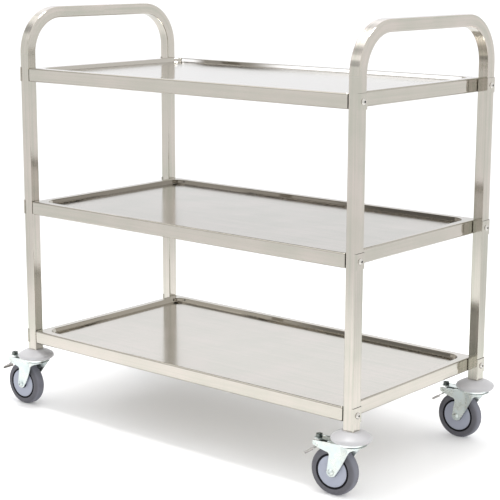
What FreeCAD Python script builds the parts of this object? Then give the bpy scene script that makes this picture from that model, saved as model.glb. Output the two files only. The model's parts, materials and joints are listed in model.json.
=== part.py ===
import FreeCAD, Part

import math
import os

import Sketcher

# Three-tier utility cart in millimetres, +Z up, standing on Z = 0.
# +X runs along the cart, -Y is the long side that faces the viewer.
# The origin is on the floor, at the middle of the cart's footprint with its casters trailing to -X.

# Driving dimensions: alias in the sheet, value, and what it is.
DRIVING = [
    ("tube", 25.0, "outer width of the square leg tube"),
    ("tube_wall", 1.2, "wall of the leg tube"),
    ("tube_corner", 2.5, "outer corner radius of the leg tube"),
    ("leg_span_length", 910.0, "leg centre to leg centre along the cart"),
    ("leg_span_depth", 457.0, "leg centre to leg centre across the cart"),
    ("hoop_height", 925.0, "floor to the top of the push handles"),
    ("hoop_bend", 90.0, "bend radius of a hoop at the tube's centre line"),
    ("lower_rise", 304.0, "bottom shelf's rim to middle shelf's rim"),
    ("upper_rise", 302.0, "middle shelf's rim to top shelf's rim"),
    ("foot_to_rim", 47.0, "leg foot to the lowest shelf's rim"),
    ("apron", 30.0, "height of a shelf's skirt"),
    ("sheet", 1.0, "thickness of the shelf sheet"),
    ("shelf_bend", 3.5, "outer bend radius of the shelf sheet"),
    ("shelf_corner", 5.0, "plan radius of a shelf's outer corners"),
    ("shelf_end_gap", 0.5, "gap between a shelf's end and the legs"),
    ("rim_width", 18.0, "flat rim round a tray"),
    ("tray_depth", 9.0, "depth of a tray below its rim"),
    ("tray_corner", 30.0, "plan radius of a tray's corners at the rim"),
    ("tray_slope", 18.0, "angle of a tray's sides from upright"),
    ("tray_bend", 2.5, "radius where rim, side and floor of a tray meet"),
    ("return_lip", 12.0, "inward lip under a shelf's skirt"),
    ("saddle_wall", 1.2, "thickness of a saddle plate"),
    ("saddle_gap", 0.1, "gap between a saddle and its leg"),
    ("saddle_lip", 3.5, "how far a saddle's lips wrap the leg"),
    ("saddle_over", 1.0, "how far a saddle stands above the rim"),
    ("screw_radius", 3.0, "shank radius of a shelf screw"),
    ("screw_head_radius", 6.5, "radius of a shelf screw's button head"),
    ("screw_head_height", 3.6, "height of a shelf screw's button head"),
    ("screw_socket", 2.3, "corner radius of the hexagon socket"),
    ("screw_socket_depth", 2.0, "depth of the hexagon socket"),
    ("hole_gap", 0.2, "radial gap round a fixed screw or bolt"),
    ("nut_side", 14.0, "side of a square weld nut"),
    ("nut_height", 4.5, "thickness of a square weld nut"),
    ("nut_gap", 0.05, "radial gap between a screw and its nut"),
    ("wheel_radius", 50.0, "rolling radius of a wheel"),
    ("tyre_width", 26.0, "width of a tyre"),
    ("tyre_crown", 9.0, "radius that rounds a tyre's shoulders"),
    ("tyre_height", 13.5, "tread to rim, radially"),
    ("trail", 35.0, "how far an axle trails its swivel axis"),
    ("rim_seat_gap", 0.1, "gap between a tyre and its rim"),
    ("core_rim_height", 4.0, "radial thickness of a wheel's rim"),
    ("core_width", 24.6, "width of a wheel's rim"),
    ("core_web", 6.0, "thickness of a wheel's web"),
    ("core_hub_radius", 11.0, "outer radius of a wheel's hub"),
    ("core_hub_width", 31.0, "length of a wheel's hub"),
    ("cover_height", 2.0, "thickness of a hub cover"),
    ("cover_gap", 0.2, "gap round a hub cover"),
    ("axle_radius", 4.0, "radius of the axle bolt"),
    ("axle_head_radius", 7.0, "radius of the axle bolt's head"),
    ("axle_head_height", 4.0, "height of the axle bolt's head"),
    ("axle_socket", 3.0, "corner radius of the axle bolt's hexagon socket"),
    ("axle_nut_radius", 7.5, "corner radius of the axle nut"),
    ("axle_nut_height", 6.5, "height of the axle nut"),
    ("sleeve_radius", 6.0, "outer radius of the axle sleeve"),
    ("running_gap", 0.05, "radial gap in a running bearing"),
    ("fork_wall", 2.5, "thickness of the fork's sheet"),
    ("cheek_gap", 3.5, "gap between a tyre's side and a fork cheek"),
    ("tyre_room", 7.5, "gap between a tyre and the fork's crown"),
    ("crown_radius", 31.0, "radius of the fork's round crown"),
    ("crease", 14.0, "crease of a fork's cheeks behind the swivel axis"),
    ("cheek_spread", 0.8, "how much wider the cheeks stand in front of the crease at the axle"),
    ("cheek_bow", 28.5, "radius that closes the cheeks' plan in front at the axle"),
    ("boss_radius", 9.0, "radius of a fork's leg at the axle"),
    ("pivot_room", 10.75, "tyre to brake pivot, radially"),
    ("pivot_angle", 57.1, "angle of the brake pivot above the axle"),
    ("pivot_radius", 2.5, "radius of the brake pivot pin"),
    ("pivot_head_radius", 4.0, "radius of the brake pivot pin's heads"),
    ("pivot_head_height", 1.6, "height of the brake pivot pin's heads"),
    ("arm_margin", 8.0, "fork arm past the brake pivot"),
    ("arm_root", 40.0, "rear edge of the fork's crown plate"),
    ("barrel_radius", 5.2, "outer radius of the pedal's barrel"),
    ("pedal_wall", 2.0, "thickness of the pedal plate"),
    ("pedal_length", 38.0, "pedal tip to pivot"),
    ("pedal_width", 31.0, "width of the pedal"),
    ("pedal_lip", 3.5, "turned-down tip of the pedal"),
    ("pedal_slope", 30.0, "slope of the pedal plate when it is up"),
    ("pedal_corner", 1.5, "radius of the corners of the pedal's tip"),
    ("pedal_rib_reach", 22.5, "pivot to the brake rib under the pedal"),
    ("pedal_rib_width", 8.0, "width of the brake rib"),
    ("pedal_rib_height", 0.6, "height of the brake rib"),
    ("leaf_width", 18.0, "width of the brake leaf"),
    ("leaf_wall", 1.6, "thickness of the brake leaf"),
    ("leaf_seat", 12.0, "length of the leaf on the crown plate"),
    ("adjuster_radius", 4.0, "radius of the brake adjusting screw"),
    ("adjuster_inset", 4.0, "adjusting screw from the fork arm's end"),
    ("adjuster_nut_radius", 7.5, "corner radius of the adjuster's nut"),
    ("adjuster_nut_height", 6.5, "height of the adjuster's nut"),
    ("adjuster_tip", 1.3, "adjusting screw above its nut"),
    ("adjuster_gap", 0.4, "adjusting screw above the pedal's barrel"),
    ("head_height", 8.5, "swivel head above the fork's crown"),
    ("head_radius", 27.0, "radius of the swivel head cup"),
    ("head_skirt", 2.6, "wall of the head cup's skirt"),
    ("head_clearance", 0.6, "gap between the head cup and the crown"),
    ("ball_radius", 2.4, "radius of a swivel ball"),
    ("ball_ring", 19.0, "radius of the ball ring"),
    ("ball_sink", 0.4, "how deep a ball sits in the crown's groove"),
    ("ball_gap", 0.3, "gap between a ball and the head cup"),
    ("ball_seat_gap", 0.05, "gap between a ball and the crown's groove"),
    ("kingpin_radius", 8.0, "radius of the kingpin"),
    ("kingpin_flange", 11.0, "radius of the kingpin's lower flange"),
    ("kingpin_flange_height", 2.4, "height of the kingpin's lower flange"),
    ("kingpin_gap", 0.4, "axial gap under the fork's crown"),
    ("stem_radius", 5.0, "radius of the threaded stem"),
    ("stem_length", 44.0, "stem above the swivel head"),
    ("bumper_radius", 41.3, "radius of a bumper disc"),
    ("bumper_height", 21.2, "height of a bumper disc"),
    ("bumper_drop", 1.7, "how far a bumper disc's edge hangs below the head cup's top"),
    ("bumper_round", 6.3, "radius of a bumper disc's round edge"),
    ("bumper_flank", 33.0, "slope of a bumper disc's flank where it leaves the round edge, degrees"),
    ("bumper_seat", 19.0, "radius of a bumper disc's flat top"),
    ("bumper_dome", 90.0, "radius of a bumper disc's domed flank"),
    ("bumper_wall", 3.0, "wall of a bumper disc"),
    ("bumper_boss", 8.5, "height of the solid boss in a bumper disc"),
    ("insert_gap", 0.1, "gap between an insert and its leg tube"),
    ("insert_length", 27.0, "length of a leg insert"),
    ("edge_round", 0.8, "radius that breaks small edges"),
    ("overrun", 5.0, "how far a cutting tool runs past a face"),
    ("heading_left", 2.0, "caster heading at the left end, degrees"),
    ("heading_front_right", 7.0, "heading of the front right caster, degrees"),
    ("heading_back_right", 2.0, "heading of the back right caster, degrees"),
]

BALLS_PER_HEAD = 16
HEX_SIDES = 6
TOLERANCE = 1e-6
FULL_TURN = 360.0
QUARTER_TURN = 90.0

# A button head's straight brim over its height, and its flat top over its brim.
BRIM_SHARE = 0.25
BUTTON_TOP_SHARE = 0.55
# The roof of a head cup above the balls' centres, over a ball's radius.
CUP_ROOF_SHARE = 0.75
# Where a fork's round crown meets its cheeks, ahead of the swivel axis, over the crown's radius.
SHOULDER_SHARE = 0.25
# The slanted ends of a pedal's brake rib, over its width.
RIB_SLANT_SHARE = 0.25
# The rounded corners of a brake leaf's rear end, over half its width.
LEAF_CORNER_SHARE = 0.5

os.makedirs("parts", exist_ok=True)
doc = FreeCAD.newDocument("utility_cart")
sheet_object = doc.addObject("Spreadsheet::Sheet", "sizes")


class Size:
    """A number together with the formula that gives it from the sheet's cells."""

    def __init__(self, value, formula):
        self.value = float(value)
        self.formula = formula

    def __add__(self, other):
        other = as_size(other)
        return Size(self.value + other.value, "(%s + %s)" % (self.formula, other.formula))

    def __sub__(self, other):
        other = as_size(other)
        return Size(self.value - other.value, "(%s - %s)" % (self.formula, other.formula))

    def __mul__(self, other):
        other = as_size(other)
        return Size(self.value * other.value, "(%s * %s)" % (self.formula, other.formula))

    def __truediv__(self, other):
        other = as_size(other)
        return Size(self.value / other.value, "(%s / %s)" % (self.formula, other.formula))

    def __neg__(self):
        return Size(-self.value, "(0 - %s)" % self.formula)

    def __radd__(self, other):
        return as_size(other) + self

    def __rsub__(self, other):
        return as_size(other) - self

    def __rmul__(self, other):
        return as_size(other) * self


def as_size(number):
    if isinstance(number, Size):
        return number
    return Size(number, "%.9g" % number)


def cosine(angle):
    return Size(math.cos(math.radians(angle.value)), "cos(%s)" % angle.formula)


def sine(angle):
    return Size(math.sin(math.radians(angle.value)), "sin(%s)" % angle.formula)


class Sheet:
    """The driving dimensions, each an attribute named as its alias."""

    def __init__(self, table):
        for row, (alias, value, meaning) in enumerate(table, start=1):
            sheet_object.set("A%d" % row, alias)
            sheet_object.set("B%d" % row, "%.9g" % value)
            sheet_object.set("C%d" % row, meaning)
            sheet_object.setAlias("B%d" % row, alias)
            setattr(self, alias, Size(value, "sizes.%s" % alias))


s = Sheet(DRIVING)
doc.recompute()
ZERO = as_size(0)

# Places that several pieces share.
leg_x = s.leg_span_length / 2
leg_y = s.leg_span_depth / 2
half_tube = s.tube / 2
crown_top = s.wheel_radius * 2 + s.tyre_room + s.fork_wall
crown_under = crown_top - s.fork_wall
head_top = crown_top + s.head_height
bumper_low = head_top - s.bumper_drop
leg_foot = bumper_low + s.bumper_height
bottom_rim = leg_foot + s.foot_to_rim
middle_rim = bottom_rim + s.lower_rise
top_rim = middle_rim + s.upper_rise
hoop_top = s.hoop_height - half_tube
cheek_inner = s.tyre_width / 2 + s.cheek_gap
cheek_outer = cheek_inner + s.fork_wall
pivot_u = -s.trail - (s.wheel_radius + s.pivot_room) * cosine(s.pivot_angle)
pivot_z = s.wheel_radius + (s.wheel_radius + s.pivot_room) * sine(s.pivot_angle)
arm_end = pivot_u - s.arm_margin
adjuster_u = arm_end + s.adjuster_inset
core_radius = s.wheel_radius - s.tyre_height - s.rim_seat_gap
cover_radius = core_radius - s.core_rim_height - s.cover_gap
ball_z = crown_top + s.ball_radius - s.ball_sink
screw_y = leg_y
screw_drop = s.apron / 2
saddle_face = half_tube + s.saddle_gap + s.saddle_wall
pedal_flat = (s.pedal_length - s.pedal_wall) * cosine(s.pedal_slope)
pedal_reach = pedal_flat - s.barrel_radius * sine(s.pedal_slope) + s.pedal_wall - pivot_u
trailing_reach = pedal_reach * cosine(s.heading_left) + s.pedal_width / 2 * sine(s.heading_left)
cart_x = (trailing_reach - s.bumper_radius) / 2

SHELVES = [("bottom_shelf", bottom_rim), ("middle_shelf", middle_rim), ("top_shelf", top_rim)]
CORNERS = [
    ("front_left", -1, -1, s.heading_left),
    ("front_right", 1, -1, s.heading_front_right),
    ("back_left", -1, 1, s.heading_left),
    ("back_right", 1, 1, s.heading_back_right),
]


# Helpers for bodies, sketches and features.

def bind(item, path, size):
    item.setExpression(path, as_size(size).formula)


def new_body(name):
    body = doc.addObject("PartDesign::Body", name)
    body.Label = name
    return body


def new_sketch(body, name, role, offset=None):
    plane = [item for item in body.Origin.OriginFeatures if item.Role == role][0]
    drawing = body.newObject("Sketcher::SketchObject", name)
    drawing.AttachmentSupport = (plane, [""])
    drawing.MapMode = "FlatFace"
    if offset is not None:
        bind(drawing, "AttachmentOffset.Base.z", offset)
    return drawing


def fix(drawing, kind, element, end, size):
    index = drawing.addConstraint(Sketcher.Constraint(kind, -1, 1, element, end, size.value))
    bind(drawing, "Constraints[%d]" % index, size)


def fix_radius(drawing, element, radius):
    index = drawing.addConstraint(Sketcher.Constraint("Radius", element, radius.value))
    bind(drawing, "Constraints[%d]" % index, radius)


def add_run(drawing, start, finish, radius=None):
    """Add a straight or round run and return its start and end, as the sketch numbers them."""
    curve = Part.LineSegment(start, finish) if radius is None else arc_between(start, finish, radius.value)
    element = drawing.addGeometry(curve, False)
    begins = drawing.getPoint(element, 1)
    forward = begins.distanceToPoint(start) < begins.distanceToPoint(finish)
    return (1, 2) if forward else (2, 1)


def draw_outline(drawing, points, arcs=None):
    """Closed outline through points; arcs gives a radius for the stretch after a point.

    The points run anticlockwise. A positive radius bulges outwards, a negative one inwards.
    """
    arcs = arcs or {}
    points = [(as_size(x), as_size(y)) for x, y in points]
    spots = [FreeCAD.Vector(x.value, y.value, 0) for x, y in points]
    first = drawing.GeometryCount
    ends = []
    for index, start in enumerate(spots):
        finish = spots[(index + 1) % len(spots)]
        ends.append(add_run(drawing, start, finish, arcs.get(index)))
    for index, (x, y) in enumerate(points):
        here = first + index
        after = first + (index + 1) % len(points)
        joined = (here, ends[index][1], after, ends[(index + 1) % len(points)][0])
        drawing.addConstraint(Sketcher.Constraint("Coincident", *joined))
        fix(drawing, "DistanceX", here, ends[index][0], x)
        fix(drawing, "DistanceY", here, ends[index][0], y)
    for index, radius in arcs.items():
        fix_radius(drawing, first + index, radius if radius.value > 0 else -radius)


def arc_between(start, finish, radius):
    middle = (start + finish) * 0.5
    chord = finish - start
    across = FreeCAD.Vector(-chord.y, chord.x, 0).normalize()
    side = 1 if radius > 0 else -1
    height = math.sqrt(max(radius * radius - chord.Length ** 2 / 4, 0))
    centre = middle + across * (side * height)
    bulge = centre - across * (side * abs(radius))
    return Part.Arc(start, bulge, finish)


def draw_circle(drawing, x, y, radius):
    spot = FreeCAD.Vector(as_size(x).value, as_size(y).value, 0)
    circle = Part.Circle(spot, FreeCAD.Vector(0, 0, 1), radius.value)
    element = drawing.addGeometry(circle, False)
    fix(drawing, "DistanceX", element, 3, as_size(x))
    fix(drawing, "DistanceY", element, 3, as_size(y))
    fix_radius(drawing, element, radius)


def draw_rounded_box(drawing, half_x, half_y, radius, x=ZERO, y=ZERO):
    near_x = half_x - radius
    near_y = half_y - radius
    points = [
        (x - near_x, y - half_y), (x + near_x, y - half_y),
        (x + half_x, y - near_y), (x + half_x, y + near_y),
        (x + near_x, y + half_y), (x - near_x, y + half_y),
        (x - half_x, y + near_y), (x - half_x, y - near_y),
    ]
    draw_outline(drawing, points, {1: radius, 3: radius, 5: radius, 7: radius})


def draw_hexagon(drawing, radius):
    turns = [as_size(FULL_TURN * side / HEX_SIDES) for side in range(HEX_SIDES)]
    draw_outline(drawing, [(radius * cosine(turn), radius * sine(turn)) for turn in turns])


def extrude(body, kind, name, drawing, length=None, symmetric=False, backwards=False, taper=None):
    feature = body.newObject(kind, name)
    feature.Profile = drawing
    feature.Reversed = backwards
    if symmetric:
        feature.SideType = "Symmetric"
    if length is None:
        feature.Type = "ThroughAll"
    else:
        bind(feature, "Length", length)
    if taper is not None:
        bind(feature, "TaperAngle", taper)
    doc.recompute()
    return feature


def pad(body, name, drawing, length, **options):
    return extrude(body, "PartDesign::Pad", name, drawing, length, **options)


def pocket(body, name, drawing, length=None, **options):
    return extrude(body, "PartDesign::Pocket", name, drawing, length, **options)


def spin(body, name, drawing, kind="PartDesign::Revolution"):
    """Turn a sketch about its own upright axis."""
    feature = body.newObject(kind, name)
    feature.Profile = drawing
    feature.ReferenceAxis = (drawing, ["V_Axis"])
    feature.Angle = FULL_TURN
    doc.recompute()
    return feature


def round_edges(body, name, radius, chosen):
    """Fillet the edges of the body's tip for which chosen(edge) is true."""
    base = body.Tip
    names = ["Edge%d" % number for number, edge in enumerate(base.Shape.Edges, start=1) if chosen(edge)]
    fillet = body.newObject("PartDesign::Fillet", name)
    fillet.Base = (base, names)
    bind(fillet, "Radius", radius)
    doc.recompute()
    return fillet


def level_edge(*heights):
    """Test for an edge that lies flat at one of the heights."""
    wanted = [as_size(height).value for height in heights]

    def test(edge):
        box = edge.BoundBox
        return box.ZLength < TOLERANCE and any(abs(box.ZMin - height) < TOLERANCE for height in wanted)

    return test


def inner_level_edge(reach, *heights):
    """Test for a level edge at one of the heights that stays within a reach along X."""
    level = level_edge(*heights)

    def test(edge):
        box = edge.BoundBox
        return level(edge) and abs(box.XMin) < reach and abs(box.XMax) < reach

    return test


def place(item, x, y, z, rotation=None):
    if rotation is not None:
        item.Placement = FreeCAD.Placement(FreeCAD.Vector(0, 0, 0), rotation)
    bind(item, "Placement.Base.x", x)
    bind(item, "Placement.Base.y", y)
    bind(item, "Placement.Base.z", z)
    return item


def group(name, pieces):
    compound = doc.addObject("Part::Compound", name)
    compound.Label = name
    compound.Links = pieces
    return compound


UPRIGHT = FreeCAD.Vector(0, 0, 1)
ALONG = FreeCAD.Vector(1, 0, 0)
ACROSS = FreeCAD.Vector(0, 1, 0)


def turn(axis, degrees):
    return FreeCAD.Rotation(axis, degrees)


# Frame pieces.

def hoop(name, side):
    """Inverted U of square tube; its top is the push handle."""
    body = new_body(name)
    section = new_sketch(body, name + "_section", "XY_Plane", leg_foot)
    draw_rounded_box(section, half_tube, half_tube, s.tube_corner, ZERO, -leg_y)
    inner = half_tube - s.tube_wall
    draw_rounded_box(section, inner, inner, s.tube_corner - s.tube_wall, ZERO, -leg_y)
    path = new_sketch(body, name + "_path", "YZ_Plane")
    corner_y = leg_y - s.hoop_bend
    corner_z = hoop_top - s.hoop_bend
    draw_path(path, corner_y, corner_z)
    pipe = body.newObject("PartDesign::AdditivePipe", name + "_tube")
    pipe.Profile = section
    pipe.Spine = path
    doc.recompute()
    holes = new_sketch(body, name + "_holes", "YZ_Plane")
    for _, rim in SHELVES:
        for y in (-screw_y, screw_y):
            draw_circle(holes, y, rim - screw_drop, s.screw_radius + s.hole_gap)
    pocket(body, name + "_drilling", holes, symmetric=True)
    return place(body, cart_x + leg_x * side, ZERO, ZERO)


def draw_path(drawing, corner_y, corner_z):
    """Centre line of a hoop: up one leg, over the handle and down the other leg."""
    spots = [
        (-leg_y, leg_foot), (-leg_y, corner_z), (-corner_y, hoop_top),
        (corner_y, hoop_top), (leg_y, corner_z), (leg_y, leg_foot),
    ]
    vectors = [FreeCAD.Vector(y.value, z.value, 0) for y, z in spots]
    bends = {1: -s.hoop_bend, 3: -s.hoop_bend}
    ends = []
    for index in range(len(spots) - 1):
        ends.append(add_run(drawing, vectors[index], vectors[index + 1], bends.get(index)))
    for index in range(len(spots) - 2):
        joined = (index, ends[index][1], index + 1, ends[index + 1][0])
        drawing.addConstraint(Sketcher.Constraint("Coincident", *joined))
    for index in range(len(spots) - 1):
        fix(drawing, "DistanceX", index, ends[index][0], spots[index][0])
        fix(drawing, "DistanceY", index, ends[index][0], spots[index][1])
    last = len(spots) - 2
    fix(drawing, "DistanceX", last, ends[last][1], spots[-1][0])
    fix(drawing, "DistanceY", last, ends[last][1], spots[-1][1])
    for index in bends:
        fix_radius(drawing, index, s.hoop_bend)


def shelf(name, rim):
    """Pressed sheet tray: sunk floor, flat rim, deep skirt and an inward lip under it."""
    half_x = leg_x - half_tube - s.shelf_end_gap
    half_y = leg_y + half_tube
    rim_x = half_x - s.rim_width
    rim_y = half_y - s.rim_width
    body = new_body(name)
    outer = new_sketch(body, name + "_outline", "XY_Plane")
    draw_rounded_box(outer, half_x, half_y, s.shelf_corner)
    pad(body, name + "_block", outer, s.apron)
    hollow = new_sketch(body, name + "_hollow_outline", "XY_Plane", s.sheet)
    draw_rounded_box(hollow, half_x - s.sheet, half_y - s.sheet, s.shelf_corner - s.sheet)
    pocket(body, name + "_hollow", hollow, s.apron - s.sheet * 2, backwards=True)
    inside = level_edge(s.sheet, s.apron - s.sheet)
    round_edges(body, name + "_inner_bends", s.shelf_bend - s.sheet, inside)
    round_edges(body, name + "_bends", s.shelf_bend, level_edge(ZERO, s.apron))
    basin = new_sketch(body, name + "_basin_outline", "XY_Plane", s.apron)
    draw_rounded_box(basin, rim_x + s.sheet, rim_y + s.sheet, s.tray_corner + s.sheet)
    pad(body, name + "_basin", basin, s.tray_depth + s.sheet, backwards=True, taper=-s.tray_slope)
    tray = new_sketch(body, name + "_tray_outline", "XY_Plane", s.apron)
    draw_rounded_box(tray, rim_x, rim_y, s.tray_corner)
    pocket(body, name + "_tray", tray, s.tray_depth, taper=-s.tray_slope)
    reach = half_x.value - s.rim_width.value / 2
    near = [s.apron, s.apron - s.tray_depth]
    round_edges(body, name + "_tray_bends", s.tray_bend, inner_level_edge(reach, *near))
    under = inner_level_edge(reach, s.apron - s.sheet)
    round_edges(body, name + "_rim_underside", s.tray_bend - s.sheet, under)
    base = inner_level_edge(reach, s.apron - s.tray_depth - s.sheet)
    round_edges(body, name + "_floor_underside", s.tray_bend + s.sheet, base)
    mouth = new_sketch(body, name + "_mouth_outline", "XY_Plane")
    mouth_x = half_x - s.sheet - s.return_lip
    mouth_y = half_y - s.sheet - s.return_lip
    draw_rounded_box(mouth, mouth_x, mouth_y, s.shelf_corner)
    pocket(body, name + "_mouth", mouth, s.sheet + s.overrun, backwards=True)
    holes = new_sketch(body, name + "_holes", "YZ_Plane")
    for y in (-screw_y, screw_y):
        draw_circle(holes, y, s.apron - screw_drop, s.screw_radius + s.hole_gap)
    pocket(body, name + "_drilling", holes, symmetric=True)
    return place(body, cart_x, ZERO, rim - s.apron)


def saddle(name, side, y, rim):
    """U-shaped plate that wraps the outboard face of a leg under a screw's head."""
    body = new_body(name)
    inner = half_tube + s.saddle_gap
    outer = saddle_face
    back = half_tube - s.saddle_lip
    bend = s.saddle_wall + s.edge_round
    drawing = new_sketch(body, name + "_outline", "XY_Plane")
    points = [
        (back, -outer), (outer - bend, -outer), (outer, bend - outer), (outer, outer - bend),
        (outer - bend, outer), (back, outer), (back, inner), (inner - s.edge_round, inner),
        (inner, inner - s.edge_round), (inner, s.edge_round - inner), (inner - s.edge_round, -inner),
        (back, -inner),
    ]
    bends = {1: bend, 3: bend, 7: -s.edge_round, 9: -s.edge_round}
    draw_outline(drawing, points, bends)
    pad(body, name + "_plate", drawing, s.apron + s.saddle_over)
    hole = new_sketch(body, name + "_hole", "YZ_Plane")
    draw_circle(hole, ZERO, s.apron - screw_drop, s.screw_radius + s.hole_gap)
    pocket(body, name + "_drilling", hole, symmetric=True)
    heading = turn(UPRIGHT, QUARTER_TURN * (1 - side))
    return place(body, cart_x + leg_x * side, y, rim - s.apron, heading)


def button_screw(name, shank, head, head_height, length, socket, socket_depth):
    """Button-head screw along its own Z: the head's seat is at Z = 0 and the shank runs down."""
    body = new_body(name)
    drawing = new_sketch(body, name + "_profile", "XZ_Plane")
    brim = head_height * BRIM_SHARE
    flat = head * BUTTON_TOP_SHARE
    points = [
        (ZERO, -length), (shank - s.edge_round, -length), (shank, s.edge_round - length),
        (shank, ZERO), (head, ZERO), (head, brim), (flat, head_height), (ZERO, head_height),
    ]
    draw_outline(drawing, points, {5: head})
    spin(body, name + "_turning", drawing)
    hexagon = new_sketch(body, name + "_hexagon", "XY_Plane", head_height)
    draw_hexagon(hexagon, socket)
    pocket(body, name + "_socket", hexagon, socket_depth)
    return body


def shelf_screw(name, side, y, rim):
    nut_side = half_tube + s.shelf_end_gap + s.sheet + s.nut_height
    length = saddle_face + nut_side + s.edge_round
    sizes = (s.screw_radius, s.screw_head_radius, s.screw_head_height, length)
    body = button_screw(name, *sizes, s.screw_socket, s.screw_socket_depth)
    heading = turn(ACROSS, QUARTER_TURN * side)
    return place(body, cart_x + (leg_x + saddle_face) * side, y, rim - screw_drop, heading)


def weld_nut(name, side, y, rim):
    """Square nut welded behind a shelf's end skirt."""
    body = new_body(name)
    drawing = new_sketch(body, name + "_outline", "YZ_Plane")
    draw_rounded_box(drawing, s.nut_side / 2, s.nut_side / 2, s.edge_round)
    draw_circle(drawing, ZERO, ZERO, s.screw_radius + s.nut_gap)
    pad(body, name + "_plate", drawing, s.nut_height)
    seat = leg_x - half_tube - s.shelf_end_gap - s.sheet - s.nut_height
    heading = turn(UPRIGHT, QUARTER_TURN * (1 - side))
    return place(body, cart_x + seat * side, y, rim - screw_drop, heading)


def at_each_joint(maker, label):
    pieces = []
    for shelf_name, rim in SHELVES:
        for corner, side_x, side_y, _ in CORNERS:
            name = "%s_%s_%s" % (label, shelf_name, corner)
            pieces.append(maker(name, side_x, leg_y * side_y, rim))
    return pieces


# Caster pieces. Each is drawn about its swivel axis with the wheel trailing towards -X.

def caster_place(body, corner, back=ZERO, height=ZERO, tilt=None):
    """Place a piece that lies behind the swivel axis and at a height, turned with its caster."""
    _, side_x, side_y, heading = corner
    rotation = turn(UPRIGHT, heading.value)
    if tilt is not None:
        rotation = rotation.multiply(tilt)
    x = cart_x + leg_x * side_x - back * cosine(heading)
    y = leg_y * side_y - back * sine(heading)
    return place(body, x, y, height, rotation)


def bumper(corner):
    """Moulded disc with a round edge under a leg, which takes knocks; hollow from below."""
    name = "bumper_" + corner[0]
    body = new_body(name)
    drawing = new_sketch(body, name + "_profile", "XZ_Plane")
    top = s.bumper_height
    bore = s.stem_radius + s.hole_gap
    brim = s.bumper_radius - s.bumper_round
    seat = s.head_radius - s.head_skirt
    inside = brim - s.bumper_wall
    shoulder = brim + s.bumper_round * sine(s.bumper_flank)
    shoulder_height = s.bumper_round + s.bumper_round * cosine(s.bumper_flank)
    points = [
        (bore, s.bumper_drop), (seat, s.bumper_drop), (seat, s.bumper_boss), (inside, s.bumper_round),
        (inside, ZERO), (brim, ZERO), (s.bumper_radius, s.bumper_round), (shoulder, shoulder_height),
        (s.bumper_seat, top), (bore, top),
    ]
    draw_outline(drawing, points, {5: s.bumper_round, 6: s.bumper_round, 7: s.bumper_dome})
    spin(body, name + "_turning", drawing)
    return caster_place(body, corner, height=bumper_low)


def leg_insert(corner):
    """Square plug in the foot of a leg that holds the caster's stem."""
    name = "insert_" + corner[0]
    body = new_body(name)
    drawing = new_sketch(body, name + "_outline", "XY_Plane")
    half = half_tube - s.tube_wall - s.insert_gap
    draw_rounded_box(drawing, half, half, s.tube_corner - s.tube_wall)
    draw_circle(drawing, ZERO, ZERO, s.stem_radius + s.nut_gap)
    pad(body, name + "_plug", drawing, s.insert_length)
    return place(body, cart_x + leg_x * corner[1], leg_y * corner[2], leg_foot)


def stem(corner):
    """Kingpin with its lower flange, and the threaded stem above it."""
    name = "stem_" + corner[0]
    body = new_body(name)
    drawing = new_sketch(body, name + "_profile", "XZ_Plane")
    flange_top = crown_under - s.kingpin_gap
    flange_bottom = flange_top - s.kingpin_flange_height
    stem_end = head_top + s.stem_length
    points = [
        (ZERO, flange_bottom), (s.kingpin_flange - s.edge_round, flange_bottom),
        (s.kingpin_flange, flange_bottom + s.edge_round), (s.kingpin_flange, flange_top),
        (s.kingpin_radius, flange_top), (s.kingpin_radius, head_top), (s.stem_radius, head_top),
        (s.stem_radius, stem_end - s.edge_round), (s.stem_radius - s.edge_round, stem_end),
        (ZERO, stem_end),
    ]
    draw_outline(drawing, points, {1: s.edge_round})
    spin(body, name + "_turning", drawing)
    return caster_place(body, corner)


def head_cup(corner):
    """Fixed upper half of the swivel head, with its ball track underneath."""
    name = "cup_" + corner[0]
    body = new_body(name)
    drawing = new_sketch(body, name + "_profile", "XZ_Plane")
    bore = s.kingpin_radius + s.nut_gap
    skirt_inner = s.head_radius - s.head_skirt
    skirt_bottom = crown_top + s.head_clearance
    under = ball_z + s.ball_radius * CUP_ROOF_SHARE
    points = [
        (bore, under), (skirt_inner, under), (skirt_inner, skirt_bottom), (s.head_radius, skirt_bottom),
        (s.head_radius, head_top - s.edge_round * 2), (s.head_radius - s.edge_round * 2, head_top),
        (bore, head_top),
    ]
    draw_outline(drawing, points, {4: s.edge_round * 2})
    spin(body, name + "_turning", drawing)
    track = new_sketch(body, name + "_track", "XZ_Plane")
    draw_circle(track, s.ball_ring, ball_z, s.ball_radius + s.ball_gap)
    spin(body, name + "_groove", track, "PartDesign::Groove")
    return caster_place(body, corner)


def balls(corner):
    pieces = []
    for number in range(BALLS_PER_HEAD):
        ball = doc.addObject("Part::Sphere", "ball_%s_%d" % (corner[0], number))
        bind(ball, "Radius", s.ball_radius)
        angle = as_size(FULL_TURN * number / BALLS_PER_HEAD)
        x = cart_x + leg_x * corner[1] + s.ball_ring * cosine(angle)
        y = leg_y * corner[2] + s.ball_ring * sine(angle)
        pieces.append(place(ball, x, y, ball_z))
    return pieces


# Side view of a fork's cheek: the arm to the rear, the leg down to the axle and the flare in front.
# Places behind the axle are shares of the arm, places before it are shares of the front reach.
ARM_LOW_SHARES = [(1.0, 0.85), (0.756, 0.777), (0.24, 0.685)]
THROAT_SHARES = (0.098, 0.595)
LEG_FRONT_SHARES = (0.159, -0.075)
FLARE_SHARES = [(0.641, 0.788), (0.84, 0.942)]
THROAT_ROUND_SHARE = 0.11
FLARE_ROUND_SHARE = 0.27
BOSS_FRONT_SHARE = 1.2


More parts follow.
